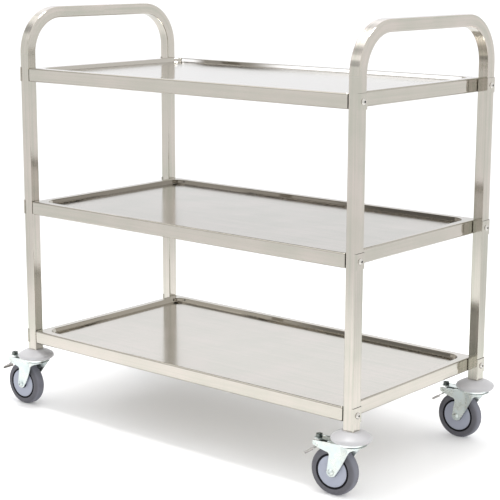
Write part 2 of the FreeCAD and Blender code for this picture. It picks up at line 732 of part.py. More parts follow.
def fork_outline(drawing):
    rise = crown_top - s.wheel_radius
    rear = -arm_end - s.trail
    front = s.crown_radius + s.trail
    axle = -s.trail

    def behind(share, up):
        return (axle - rear * share, s.wheel_radius + rise * up)

    def before(share, up):
        return (axle + front * share, s.wheel_radius + rise * up)

    points = [(arm_end, crown_top)]
    points += [behind(*shares) for shares in ARM_LOW_SHARES]
    points += [behind(*THROAT_SHARES)]
    points += [(axle - s.boss_radius, s.wheel_radius), (axle, s.wheel_radius - s.boss_radius)]
    points += [before(*LEG_FRONT_SHARES)]
    points += [before(*shares) for shares in FLARE_SHARES]
    points += [(s.crown_radius, crown_top)]
    rounds = {
        3: -rise * THROAT_ROUND_SHARE,
        5: s.boss_radius,
        6: s.boss_radius * BOSS_FRONT_SHARE,
        8: -rise * FLARE_ROUND_SHARE,
    }
    draw_outline(drawing, points, rounds)


def fork_plan(drawing, half, flared, tail, bow):
    """Plan of the fork: straight sides behind the crease, opening to a round front."""
    shoulder = s.crown_radius * SHOULDER_SHARE
    points = [
        (tail, -half), (-s.crease, -half), (shoulder, -flared), (shoulder, flared),
        (-s.crease, half), (tail, half),
    ]
    draw_outline(drawing, points, {2: bow})


def fork_loft(body, name, kind, widths, tail, top, low):
    """Solid between the plan of the crown and the narrower plan at the axle."""
    half, flare, crown_bow, low_bow = widths
    upper = new_sketch(body, name + "_top", "XY_Plane", top)
    fork_plan(upper, half, flare, tail, crown_bow)
    lower = new_sketch(body, name + "_low", "XY_Plane", low)
    fork_plan(lower, half, half + s.cheek_spread, tail, low_bow)
    loft = body.newObject(kind, name)
    loft.Profile = upper
    loft.Sections = [lower]
    loft.Ruled = True
    doc.recompute()


def fork(corner):
    """Pressed fork: crown plate, two cheeks that flare into it and two rear arms."""
    name = "fork_" + corner[0]
    body = new_body(name)
    tail = arm_end - s.overrun
    low = s.wheel_radius - s.boss_radius - s.overrun
    flare = s.crown_radius * math.sqrt(1 - SHOULDER_SHARE ** 2)
    outer = (cheek_outer, flare, s.crown_radius, s.cheek_bow)
    inner = (cheek_inner, flare - s.fork_wall, s.crown_radius - s.fork_wall, s.cheek_bow - s.fork_wall)
    fork_loft(body, name + "_skin", "PartDesign::AdditiveLoft", outer, tail, crown_top, low)
    room = (inner, tail - s.overrun, crown_under, low - s.overrun)
    fork_loft(body, name + "_room", "PartDesign::SubtractiveLoft", *room)
    side = new_sketch(body, name + "_side_view", "XZ_Plane")
    margin = s.overrun * 3
    left = arm_end - margin
    right = s.crown_radius + margin
    foot = low - margin
    over = crown_top + margin
    draw_outline(side, [(left, foot), (right, foot), (right, over), (left, over)])
    fork_outline(side)
    pocket(body, name + "_trim", side, symmetric=True)
    gap = new_sketch(body, name + "_arm_gap", "XY_Plane", crown_top)
    rear_edge = -s.arm_root
    gap_points = [
        (tail, -cheek_inner), (rear_edge, -cheek_inner), (rear_edge, cheek_inner), (tail, cheek_inner),
    ]
    draw_outline(gap, gap_points)
    pocket(body, name + "_arm_slot", gap, s.fork_wall * 2)
    bores = new_sketch(body, name + "_bores", "XZ_Plane")
    draw_circle(bores, -s.trail, s.wheel_radius, s.axle_radius + s.nut_gap)
    draw_circle(bores, pivot_u, pivot_z, s.pivot_radius + s.nut_gap)
    pocket(body, name + "_drilling", bores, symmetric=True)
    eye = new_sketch(body, name + "_eye", "XY_Plane", crown_top)
    draw_circle(eye, ZERO, ZERO, s.kingpin_radius + s.running_gap)
    pocket(body, name + "_kingpin_hole", eye, s.fork_wall * 2)
    track = new_sketch(body, name + "_track", "XZ_Plane")
    draw_circle(track, s.ball_ring, ball_z, s.ball_radius + s.ball_seat_gap)
    spin(body, name + "_groove", track, "PartDesign::Groove")
    return caster_place(body, corner)


def axle_bolt(corner):
    """Axle screw with its button head on the outside of the near cheek, and its lock nut."""
    name = "axle_" + corner[0]
    length = cheek_outer * 2 + s.axle_nut_height + s.edge_round * 2
    sizes = (s.axle_radius, s.axle_head_radius, s.axle_head_height, length)
    screw = button_screw(name + "_screw", *sizes, s.axle_socket, s.screw_socket_depth)
    caster_place(screw, corner, s.trail, s.wheel_radius, turn(ALONG, QUARTER_TURN))
    shift_across(screw, corner, -cheek_outer)
    nut = hex_nut(name + "_nut", s.axle_nut_radius, s.axle_nut_height, s.axle_radius)
    caster_place(nut, corner, s.trail, s.wheel_radius, turn(ALONG, -QUARTER_TURN))
    shift_across(nut, corner, cheek_outer)
    return group("axle_bolt_" + corner[0], [screw, nut])


def shift_across(item, corner, distance):
    """Move a placed piece along its caster's axle; positive is away from the viewer's side."""
    _, side_x, side_y, heading = corner
    back = s.trail
    x = cart_x + leg_x * side_x - back * cosine(heading) - distance * sine(heading)
    y = leg_y * side_y - back * sine(heading) + distance * cosine(heading)
    bind(item, "Placement.Base.x", x)
    bind(item, "Placement.Base.y", y)


def hex_nut(name, corner_radius, height, bore):
    body = new_body(name)
    drawing = new_sketch(body, name + "_hexagon", "XY_Plane")
    draw_hexagon(drawing, corner_radius)
    draw_circle(drawing, ZERO, ZERO, bore + s.nut_gap)
    pad(body, name + "_nut", drawing, height)
    return body


def axle_sleeve(corner):
    """Steel tube between the cheeks on which the wheel turns."""
    name = "axle_sleeve_" + corner[0]
    body = new_body(name)
    drawing = new_sketch(body, name + "_section", "XY_Plane")
    draw_circle(drawing, ZERO, ZERO, s.sleeve_radius)
    draw_circle(drawing, ZERO, ZERO, s.axle_radius + s.nut_gap)
    pad(body, name + "_tube", drawing, (cheek_inner - s.nut_gap) * 2, symmetric=True)
    return caster_place(body, corner, s.trail, s.wheel_radius, turn(ALONG, QUARTER_TURN))


def wheel_core(corner):
    """Moulded wheel centre: rim, web and hub."""
    name = "wheel_core_" + corner[0]
    body = new_body(name)
    drawing = new_sketch(body, name + "_profile", "XZ_Plane")
    bore = s.sleeve_radius + s.running_gap
    hub = s.core_hub_width / 2
    web = s.core_web / 2
    rim = s.core_width / 2
    rim_inner = core_radius - s.core_rim_height
    points = [
        (bore, -hub), (s.core_hub_radius, -hub), (s.core_hub_radius, -web), (rim_inner, -web),
        (rim_inner, -rim), (core_radius, -rim), (core_radius, rim), (rim_inner, rim),
        (rim_inner, web), (s.core_hub_radius, web), (s.core_hub_radius, hub), (bore, hub),
    ]
    draw_outline(drawing, points)
    spin(body, name + "_turning", drawing)
    return caster_place(body, corner, s.trail, s.wheel_radius, turn(ALONG, QUARTER_TURN))


def tyre(corner):
    """Rubber tyre with a rounded tread."""
    name = "tyre_" + corner[0]
    body = new_body(name)
    drawing = new_sketch(body, name + "_profile", "XZ_Plane")
    bore = s.wheel_radius - s.tyre_height
    half = s.tyre_width / 2
    crown = s.tyre_crown
    outer = s.wheel_radius
    bead = s.edge_round
    points = [
        (bore, -s.core_width / 2), (bore + bead, -half), (outer - crown, -half),
        (outer, crown - half), (outer, half - crown), (outer - crown, half),
        (bore + bead, half), (bore, s.core_width / 2),
    ]
    draw_outline(drawing, points, {2: crown, 4: crown})
    spin(body, name + "_turning", drawing)
    return caster_place(body, corner, s.trail, s.wheel_radius, turn(ALONG, QUARTER_TURN))


def hub_covers(corner):
    """Thread guards that close the wheel on both sides."""
    name = "hub_covers_" + corner[0]
    pieces = []
    for label, side in (("near", 1), ("far", -1)):
        body = new_body("%s_%s" % (name, label))
        drawing = new_sketch(body, "%s_%s_profile" % (name, label), "XZ_Plane")
        bore = s.core_hub_radius + s.cover_gap
        outside = s.core_width / 2
        inside = outside - s.cover_height
        points = [
            (bore, inside), (cover_radius, inside), (cover_radius, outside - s.edge_round),
            (cover_radius - s.edge_round, outside), (bore, outside),
        ]
        draw_outline(drawing, points, {2: s.edge_round})
        spin(body, "%s_%s_turning" % (name, label), drawing)
        pieces.append(caster_place(body, corner, s.trail, s.wheel_radius, turn(ALONG, QUARTER_TURN * side)))
    return group(name, pieces)


def brake_pedal(corner):
    """Foot pedal: a barrel round its pin, a sloping plate with a turned tip, and a brake rib."""
    name = "brake_pedal_" + corner[0]
    body = new_body(name)
    drawing = new_sketch(body, name + "_side", "XZ_Plane")
    under = -s.barrel_radius
    over = under + s.pedal_wall
    tip = -s.pedal_length
    rib_a = -s.pedal_rib_reach - s.pedal_rib_width / 2
    rib_b = s.pedal_rib_width / 2 - s.pedal_rib_reach
    rib_low = under - s.pedal_rib_height
    slant = s.pedal_rib_width * RIB_SLANT_SHARE
    points = [
        (tip, under - s.pedal_lip), (tip + s.pedal_wall, under - s.pedal_lip), (tip + s.pedal_wall, under),
        (rib_a, under), (rib_a + slant, rib_low), (rib_b - slant, rib_low), (rib_b, under),
        (ZERO, under), (ZERO, over), (tip + s.pedal_wall, over), (tip, over - s.pedal_wall),
    ]
    draw_outline(drawing, points, {9: s.pedal_wall})
    pad(body, name + "_plate", drawing, s.pedal_width, symmetric=True)
    barrel = new_sketch(body, name + "_barrel_side", "XZ_Plane")
    draw_circle(barrel, ZERO, ZERO, s.barrel_radius)
    pad(body, name + "_barrel", barrel, s.pedal_width, symmetric=True)
    bore = new_sketch(body, name + "_bore_side", "XZ_Plane")
    draw_circle(bore, ZERO, ZERO, s.pivot_radius + s.running_gap)
    pocket(body, name + "_bore", bore, symmetric=True)

    def tip_edge(edge):
        box = edge.BoundBox
        upright = box.ZLength > s.pedal_wall.value and box.YLength < TOLERANCE
        return upright and abs(box.XMin - tip.value) + box.XLength < TOLERANCE

    round_edges(body, name + "_tip_corners", s.pedal_corner, tip_edge)
    return caster_place(body, corner, -pivot_u, pivot_z, turn(ACROSS, -s.pedal_slope.value))


def brake_pin(corner):
    """Riveted pivot pin of the pedal, through both arms of the fork."""
    name = "brake_pin_" + corner[0]
    body = new_body(name)
    drawing = new_sketch(body, name + "_profile", "XZ_Plane")
    half = cheek_outer
    head = s.pivot_head_radius
    tip = half + s.pivot_head_height
    neck = head - s.pivot_head_height
    points = [
        (ZERO, -tip), (neck, -tip), (head, -half), (s.pivot_radius, -half),
        (s.pivot_radius, half), (head, half), (neck, tip), (ZERO, tip),
    ]
    draw_outline(drawing, points, {1: s.pivot_head_radius, 5: s.pivot_head_radius})
    spin(body, name + "_turning", drawing)
    return caster_place(body, corner, -pivot_u, pivot_z, turn(ALONG, QUARTER_TURN))


def brake_leaf(corner):
    """Steel strip from the crown plate to the adjusting screw, above the pedal."""
    name = "brake_leaf_" + corner[0]
    body = new_body(name)
    drawing = new_sketch(body, name + "_outline", "XY_Plane", crown_top)
    half = s.leaf_width / 2
    front = s.leaf_seat - s.arm_root
    rear = arm_end - s.adjuster_inset
    bevel = half * LEAF_CORNER_SHARE
    points = [
        (rear, bevel - half), (rear + bevel, -half), (front, -half), (front, half),
        (rear + bevel, half), (rear, half - bevel),
    ]
    draw_outline(drawing, points, {0: bevel, 4: bevel})
    draw_circle(drawing, adjuster_u, ZERO, s.adjuster_radius + s.nut_gap)
    pad(body, name + "_strip", drawing, s.leaf_wall)
    return caster_place(body, corner)


def brake_screw(corner):
    """Adjusting screw through the leaf, with its lock nut on top."""
    name = "brake_screw_" + corner[0]
    seat = crown_top + s.leaf_wall
    screw = new_body(name + "_screw")
    drawing = new_sketch(screw, name + "_profile", "XZ_Plane")
    bottom = pivot_z + s.barrel_radius + s.adjuster_gap
    top = seat + s.adjuster_nut_height + s.adjuster_tip
    radius = s.adjuster_radius
    bevel = s.edge_round
    points = [
        (ZERO, bottom), (radius - bevel, bottom), (radius, bottom + bevel), (radius, top - bevel),
        (radius - bevel, top), (ZERO, top),
    ]
    draw_outline(drawing, points)
    spin(screw, name + "_turning", drawing)
    caster_place(screw, corner, -adjuster_u)
    nut = hex_nut(name + "_nut", s.adjuster_nut_radius, s.adjuster_nut_height, radius)
    caster_place(nut, corner, -adjuster_u, seat)
    return group(name, [screw, nut])


# The assembly, one entry per named node.

def build():
    nodes = [hoop("left_hoop", -1), hoop("right_hoop", 1)]
    nodes += [shelf(name, rim) for name, rim in SHELVES]
    nodes.append(group("leg_saddles", at_each_joint(saddle, "saddle")))
    nodes.append(group("shelf_screws", at_each_joint(shelf_screw, "shelf_screw")))
    nodes.append(group("weld_nuts", at_each_joint(weld_nut, "weld_nut")))
    nodes.append(group("leg_inserts", [leg_insert(corner) for corner in CORNERS]))
    nodes.append(group("caster_stems", [stem(corner) for corner in CORNERS]))
    nodes.append(group("head_cups", [head_cup(corner) for corner in CORNERS]))
    nodes.append(group("swivel_balls", [ball for corner in CORNERS for ball in balls(corner)]))
    makers = (
        bumper, fork, axle_bolt, axle_sleeve, wheel_core, tyre, hub_covers,
        brake_pedal, brake_pin, brake_leaf, brake_screw,
    )
    for corner in CORNERS:
        nodes += [maker(corner) for maker in makers]
    return nodes


def check(nodes):
    doc.recompute()
    faults = []
    for item in doc.Objects:
        if "Invalid" in item.State or "Error" in item.State:
            faults.append("%s: %s" % (item.Name, item.State))
    for node in nodes:
        shape = node.Shape
        if shape.isNull() or not shape.isValid() or not shape.Solids:
            faults.append("%s has no valid solid" % node.Label)
    if faults:
        raise RuntimeError("; ".join(faults))


def write(nodes):
    for node in nodes:
        node.Shape.exportStep("parts/%s.step" % node.Label)


NODES = build()
check(NODES)
write(NODES)
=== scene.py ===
import json
import math

import bpy
from mathutils import Matrix, Vector


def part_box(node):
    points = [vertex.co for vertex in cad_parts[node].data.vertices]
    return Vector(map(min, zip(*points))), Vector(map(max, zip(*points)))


# Looks of the three-tier utility cart, in metres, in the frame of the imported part.

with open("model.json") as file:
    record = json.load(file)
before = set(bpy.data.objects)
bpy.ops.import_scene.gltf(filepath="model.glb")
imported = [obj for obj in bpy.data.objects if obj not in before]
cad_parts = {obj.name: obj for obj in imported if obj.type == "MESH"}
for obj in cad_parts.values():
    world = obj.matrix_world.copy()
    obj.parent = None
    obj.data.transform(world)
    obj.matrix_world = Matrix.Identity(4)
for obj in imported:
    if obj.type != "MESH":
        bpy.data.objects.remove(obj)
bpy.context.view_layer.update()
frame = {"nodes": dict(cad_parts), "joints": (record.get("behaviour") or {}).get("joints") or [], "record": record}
NODES = frame["nodes"]

# Camera. Its place is measured from the cart's middle, and its lens and sensor are in millimetres.
CAMERA_PLACE = (2.0202, -2.4046, 1.0434)
CAMERA_YAW = math.radians(-39.966)
CAMERA_PITCH = math.radians(-11.607)
CAMERA_ROLL = math.radians(0.188)
CAMERA_LENS = 103.92
CAMERA_REACH = 200.0
SENSOR = 36.0

# Places and sizes of the cart that materials and lights follow.
LEFT_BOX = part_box("left_hoop")
RIGHT_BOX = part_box("right_hoop")
TUBE = LEFT_BOX[1].x - LEFT_BOX[0].x
HOOP_HALF = RIGHT_BOX[1].y - TUBE / 2
HOOP_TOP = RIGHT_BOX[1].z - TUBE / 2
HOOP_BEND = 0.090
CART_MIDDLE = (LEFT_BOX[0].x + RIGHT_BOX[1].x) / 2
SCREW_DROP = 0.015
SCREW_HEIGHTS = [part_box(name)[1].z - SCREW_DROP for name in ("bottom_shelf", "middle_shelf", "top_shelf")]
# Radius of the painted shade in a shelf screw's socket.
SOCKET_SHADE_RADIUS = 0.0024
APRON_HALF = (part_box("top_shelf")[1].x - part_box("top_shelf")[0].x) / 2
APRON_DEPTH_HALF = (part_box("top_shelf")[1].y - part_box("top_shelf")[0].y) / 2
RIM_WIDTH = 0.012
# Width of the painted shadow where an apron runs in behind a right-hand leg.
SEAM_SHADOW_WIDTH = 0.0019
CASTER_TOP = 0.150

# Distances over which a colour changes: along the axle from a tyre's middle, and from a brake pin.
TYRE_WALL = (0.0078, 0.01274)
PEDAL_ROOT = (0.009, 0.0144)

# Colours.
STEEL = (0.500, 0.480, 0.434)
SCREW = (0.62, 0.60, 0.56)
# Caster screws' colour, darker to paint a dark reflection.
LOW_SCREW_PAINTED_REFLECTION = (0.13, 0.15, 0.14)
SCREW_WEAR = (0.2, 0.2, 0.2, 1.0)
# Painted shade in the shelf screws' sockets.
SOCKET_PAINTED_SHADE = (0.03, 0.025, 0.025, 1.0)
# Painted shadow in the gap where an apron runs in behind a right-hand leg.
SEAM_PAINTED_SHADOW = (0.05, 0.045, 0.04, 1.0)
ZINC = (0.62, 0.645, 0.63)
# Head cups far paler than the other zinc: painted light in the shaded gap under the bumpers.
HEAD_CUP_PAINTED_LIGHT = (0.88, 0.90, 0.89)
BALL = (0.60, 0.60, 0.61)
PEDAL_DARK = (0.10, 0.11, 0.105)
PEDAL_PALE = (0.47, 0.45, 0.435)
INSERT = (0.02, 0.02, 0.021)
BUMPER = (0.455, 0.450, 0.460)
WHEEL_CORE = (0.005, 0.005, 0.007)
HUB_COVER = (0.32, 0.34, 0.41)
TYRE_SIDE = (0.092, 0.091, 0.104)
TYRE_TREAD = (0.165, 0.168, 0.198)
DUST_GREY = (0.16, 0.16, 0.18, 1.0)
FLOOR_WHITE = (0.90, 0.90, 0.90, 1.0)
WHITE = (1.0, 1.0, 1.0, 1.0)
COOL = (0.978, 0.985, 1.012, 1.0)

# Factors on a colour: the ends of the steel's streaks and of the zinc's clouds.
STREAK_DARK = (0.88, 0.915, 0.88)
STREAK_LIGHT = (1.13, 1.07, 1.09)
ZINC_WARM = (0.98, 1.0, 0.97)
ZINC_COOL = (0.94, 1.0, 1.02)

# Factors on the steel's colour on the trays' walls and folds, which paint reflections and shade there.
WALL_PAINTED_REFLECTIONS = {
    "bottom_shelf": (0.58, 0.55, 0.51),
    "middle_shelf": (0.40, 0.375, 0.35),
    "top_shelf": (0.85, 0.84, 0.84),
}
# The top tray: a painted highlight on its walls, painted shade on their folds, and a painted dark reflection.
TOP_PAINTED_HIGHLIGHT = (1.80, 1.84, 2.00)
TOP_FOLD_PAINTED_SHADE = (0.48, 0.48, 0.49)
TOP_PAINTED_DARK_REFLECTION = (0.42, 0.40, 0.38)
NEAR_WALL = (0.95, 0.95, 0.95)
# Painted shade along the outer folds at the aprons' top edges.
OUTER_FOLD_PAINTED_SHADE = (0.80, 0.79, 0.77)

# Where the top tray's painted dark reflection comes in and goes out, along the cart from its middle.
DARK_REFLECTION_START = (-0.37, -0.32)
DARK_REFLECTION_END = (-0.20, -0.05)

# Limits on a part of the normal, which tell a sheet's faces apart.
SLOPE_START = (0.05, 0.15)
SLOPE_END = (0.85, 0.97)
FOLD_START = (0.40, 0.60)
SKIRT_FACING = 0.7
APRON_FACING = 0.5
END_WALL_FACING = 0.2
BACKWARD_FACING = 0.1

# Noises: scale, detail and roughness. The first two are for places drawn out along the grain,
# and the last has no scale, because each plastic brings its own.
FINE_LINES = (1.0, 4.0, 0.6)
BROAD_LINES = (0.3, 2.0, 0.5)
STEEL_CLOUD = (9.0, 3.0, 0.55)
ZINC_CLOUD = (70.0, 3.0, 0.6)
ZINC_GRAIN = (900.0, 2.0, 0.5)
SCREW_CLOUD = (300.0, 3.0, 0.6)
PEDAL_CLOUD = (140.0, 3.0, 0.6)
PLASTIC_CLOUD = (45.0, 3.0, 0.55)
TYRE_DUST = (60.0, 3.0, 0.6)
TYRE_GRAIN = (500.0, 2.0, 0.5)
PLASTIC_GRAIN = (2.0, 0.5)

# Noise values between which a colour or a roughness changes.
STREAK_RANGE = (0.36, 0.64)
STEEL_RANGE = (0.25, 0.75)
ZINC_RANGE = (0.35, 0.65)
PEDAL_RANGE = (0.35, 0.7)
DUST_RANGE = (0.4, 0.7)
GLOSS_RANGE = (0.3, 0.7)

# Factors on a roughness where its noise is low and where it is high.
STEEL_GLOSS = (0.85, 1.18)
PLATED_GLOSS = (0.8, 1.25)
SCREW_GLOSS = (0.8, 1.2)
MATT_GLOSS = (0.9, 1.1)

# Relief: strength and depth.
STEEL_RELIEF = (0.02, 0.0001)
SCREW_RELIEF = (0.1, 0.0002)
PEDAL_RELIEF = (0.15, 0.0002)
TYRE_RELIEF = (0.3, 0.0003)
ZINC_STRENGTH = 0.15
PLASTIC_STRENGTH = 0.3

# Shine of the tyres and the floor, and the floor's roughness.
TYRE_SHINE = 0.35
FLOOR_SHINE = 0.2
FLOOR_ROUGHNESS = 0.7

# Brushed grain: noise steps for each metre across it and along it. The shift gives a hoop's back
# other noise than its front, and the least reach keeps its lines' direction from being nought.
GRAIN = 900.0
GRAIN_ALONG = 6.0
SIDE_SHIFT = 5.0
LEAST_REACH = 0.00001

# Shares: of the lines in the steel's tone, of stretch in its shine, of gloss that pressed walls
# gain, and of wear and dust where they are strongest.
LINES_SHARE = 0.65
ANISOTROPY = 0.95
WALL_POLISH = 0.55
SCREW_WEAR_SHARE = 0.3
PEDAL_WEAR_SHARE = 0.25
PEDAL_WEAR_DEPTH = 0.3
DUST_SHARE = 0.22

# Floor and sky. Light is the sky's strength, and heights are in degrees over the horizon.
FLOOR_HALF = 40.0
SKY_HORIZON = 1.15
SKY_TOP = 1.26
SKY_RISE = (5.0, 50.0)

# Panels round the cart, in degrees: azimuth from and to, height from and to, then light, then
# softness. Azimuths count from the cart's long front side towards its right-hand handle.
BACK_TURN = (-158.0, -107.0)
BACK_SOFT = 4.0
PANELS = (
    (-37.8, -22.0, 12.5, 22.4, 0.40, 1.2),
    (-44.0, -22.0, 23.4, 32.0, 1.75, 1.2),
    (-98.0, -47.0, 30.0, 41.0, 0.60, 2.0),
    (-98.0, -57.0, 42.5, 60.0, 2.60, 1.5),
    (*BACK_TURN, -10.0, 7.5, 1.16, BACK_SOFT),
    (*BACK_TURN, 8.5, 13.0, 0.93, BACK_SOFT),
    (*BACK_TURN, 14.5, 27.0, 1.34, BACK_SOFT),
    (*BACK_TURN, 28.0, 40.0, 1.80, BACK_SOFT),
    (-122.0, -106.0, 40.0, 48.0, 0.60, 3.0),
)
BACK_SKY = (*BACK_TURN, -90.0, 90.0, 0.0, BACK_SOFT)

# Lamps over the cart: name, place from its middle, radius of the pool on the floor, softness of
# the pool's edge, power, and whether it throws a shadow.
LAMP_HEIGHT = 3.2
LAMP_RADIUS = 0.50
LAMPS = (
    ("key", (-0.08, -0.16), 1.70, 0.35, 268.0, True),
    ("right_fill", (0.45, -0.12), 0.95, 1.0, 95.0, False),
    ("left_fill", (-0.66, -0.27), 0.52, 1.0, 72.0, False),
)


# Node helpers.

class Graph:
    """A material's or world's node tree, with short calls for the nodes used here."""

    def __init__(self, tree):
        self.nodes = tree.nodes
        self.links = tree.links

    def add(self, kind, **values):
        node = self.nodes.new(kind)
        for name, value in values.items():
            setattr(node, name, value)
        return node

    def join(self, source, target):
        self.links.new(source, target)

    def feed(self, target, value):
        """Join a socket to the target, or set the target to a number or colour."""
        if isinstance(value, bpy.types.NodeSocket):
            self.join(value, target)
        else:
            target.default_value = value

    def math(self, operation, first, second=0.0):
        node = self.add("ShaderNodeMath", operation=operation)
        self.feed(node.inputs[0], first)
        self.feed(node.inputs[1], second)
        return node.outputs[0]

    def plus(self, first, second):
        return self.math("ADD", first, second)

    def less(self, first, second):
        return self.math("SUBTRACT", first, second)

    def times(self, first, second):
        return self.math("MULTIPLY", first, second)

    def size(self, value):
        return self.math("ABSOLUTE", value)

    def is_over(self, value, limit):
        return self.math("GREATER_THAN", value, limit)

    def is_under(self, value, limit):
        return self.math("LESS_THAN", value, limit)

    def diagonal(self, first, second):
        """Length of the diagonal over two lengths at a right angle."""
        squares = self.plus(self.times(first, first), self.times(second, second))
        return self.math("SQRT", squares)

    def vector(self, operation, first, second=(0.0, 0.0, 0.0)):
        node = self.add("ShaderNodeVectorMath", operation=operation)
        self.feed(node.inputs[0], first)
        self.feed(node.inputs[1], second)
        return node.outputs["Value" if operation in ("DOT_PRODUCT", "LENGTH") else "Vector"]

    def split(self, vector):
        node = self.add("ShaderNodeSeparateXYZ")
        self.join(vector, node.inputs[0])
        return node.outputs

    def combine(self, x, y, z):
        node = self.add("ShaderNodeCombineXYZ")
        for socket, value in zip(node.inputs, (x, y, z)):
            self.feed(socket, value)
        return node.outputs[0]

    def ramp(self, value, low, high, start=0.0, end=1.0):
        """Smooth step of value from low to high, giving start to end."""
        node = self.add("ShaderNodeMapRange", interpolation_type="SMOOTHSTEP")
        for socket, number in zip(node.inputs, (value, low, high, start, end)):
            self.feed(socket, number)
        return node.outputs[0]

    def mix(self, share, first, second):
        """Colour that goes from first to second with the share. Inputs 6 and 7 are its colours."""
        node = self.add("ShaderNodeMix", data_type="RGBA")
        self.feed(node.inputs[0], share)
        self.feed(node.inputs[6], first)
        self.feed(node.inputs[7], second)
        return node.outputs[2]

    def noise(self, vector, scale, detail, roughness):
        node = self.add("ShaderNodeTexNoise")
        self.join(vector, node.inputs["Vector"])
        node.inputs["Scale"].default_value = scale
        node.inputs["Detail"].default_value = detail
        node.inputs["Roughness"].default_value = roughness
        return node.outputs["Fac"]

    def place(self):
        return self.add("ShaderNodeTexCoord").outputs["Object"]

    def normal(self):
        return self.add("ShaderNodeNewGeometry").outputs["Normal"]

    def facing(self, axis):
        """Size of the normal's part along an axis: 0 for x, 1 for y, 2 for z."""
        return self.size(self.split(self.normal())[axis])

    def bump(self, height, strength, distance):
        node = self.add("ShaderNodeBump")
        node.inputs["Strength"].default_value = strength
        node.inputs["Distance"].default_value = distance
        self.join(height, node.inputs["Height"])
        return node.outputs["Normal"]


def new_material(name):
    """A new material, its graph and its Principled shader."""
    material = bpy.data.materials.new(name)
    material.use_nodes = True
    graph = Graph(material.node_tree)
    shader = graph.nodes["Principled BSDF"]
    return material, graph, shader


def set_surface(graph, shader, colour, rough, relief, metallic):
    """Give a shader its colour, roughness and relief, and say how metallic it is."""
    graph.join(colour, shader.inputs["Base Color"])
    graph.join(rough, shader.inputs["Roughness"])
    graph.join(relief, shader.inputs["Normal"])
    shader.inputs["Metallic"].default_value = metallic


def uneven(graph, noise, limits, roughness, factors):
    """Roughness that changes with a noise, from one factor to the other."""
    return graph.ramp(noise, *limits, roughness * factors[0], roughness * factors[1])


def opaque(colour):
    return tuple(colour) + (1.0,)


def tint(colour, factors):
    """A colour multiplied part by part, up to white."""
    return opaque(min(part * factor, 1.0) for part, factor in zip(colour, factors))


def shade(colour, change):
    """A colour lighter by a share of itself, or darker where the share is below nought."""
    return tint(colour, (1 + change, 1 + change, 1 + change))


def joint_line(name):
    """Place and axis of one of the part's joints."""
    entry = next(joint for joint in frame["joints"] if joint["name"] == name)
    return tuple(entry["pos_m"]), tuple(entry["axis"])


# Brushed stainless steel.

def pressed_share(graph):
    """One on the sloping walls and folds of a pressed sheet, nought on its flat faces."""
    rise = graph.facing(2)
    return graph.times(graph.ramp(rise, *SLOPE_START), graph.ramp(rise, *SLOPE_END, 1.0, 0.0))


def seam_shadow_share(graph, place):
    """One on the last strip of an apron, where it runs in behind a leg on the right: the place of a painted
    shadow.
    """
    x = graph.split(place)[0]
    near = graph.is_over(x, CART_MIDDLE + APRON_HALF - SEAM_SHADOW_WIDTH)
    return graph.times(near, graph.is_over(graph.facing(1), APRON_FACING))


def recess_share(graph, place):
    """One inside a shelf's rim, nought on its outer folds."""
    x, y, _ = graph.split(place)
    past_end = graph.less(graph.size(graph.less(x, CART_MIDDLE)), APRON_HALF)
    past_side = graph.less(graph.size(y), APRON_DEPTH_HALF)
    return graph.is_under(graph.math("MAXIMUM", past_end, past_side), -RIM_WIDTH)


def top_wall_painted_tone(graph, place, colour):
    """Top tray's walls: a painted highlight with painted shade on its folds, and a painted dark reflection on the
    left of the back one.
    """
    along = graph.less(graph.split(place)[0], CART_MIDDLE)
    fold = graph.ramp(graph.facing(2), *FOLD_START)
    plain = graph.mix(fold, tint(colour, TOP_PAINTED_HIGHLIGHT), tint(colour, TOP_FOLD_PAINTED_SHADE))
    painted_dark_reflection = graph.times(graph.ramp(along, *DARK_REFLECTION_START), graph.ramp(along, *DARK_REFLECTION_END, 1.0, 0.0))
    back = graph.mix(painted_dark_reflection, plain, tint(colour, TOP_PAINTED_DARK_REFLECTION))
    end = graph.is_over(graph.facing(0), END_WALL_FACING)
    return graph.mix(end, back, tint(colour, WALL_PAINTED_REFLECTIONS["top_shelf"]))


def pressed_painted_tone(graph, place, colour):
    """Painted reflections and shade on walls and folds: a tone for each tray inside its rim, and painted shade on
    the folds outside.
    """
    z = graph.split(place)[2]
    in_middle = graph.is_over(z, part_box("middle_shelf")[0].z)
    in_top = graph.is_over(z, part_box("top_shelf")[0].z)
    backward = graph.is_over(graph.split(graph.normal())[1], BACKWARD_FACING)
    walls = tint(colour, WALL_PAINTED_REFLECTIONS["bottom_shelf"])
    walls = graph.mix(in_middle, walls, tint(colour, WALL_PAINTED_REFLECTIONS["middle_shelf"]))
    walls = graph.mix(in_top, walls, top_wall_painted_tone(graph, place, colour))
    walls = graph.mix(backward, walls, tint(colour, NEAR_WALL))
    return graph.mix(recess_share(graph, place), tint(colour, OUTER_FOLD_PAINTED_SHADE), walls)


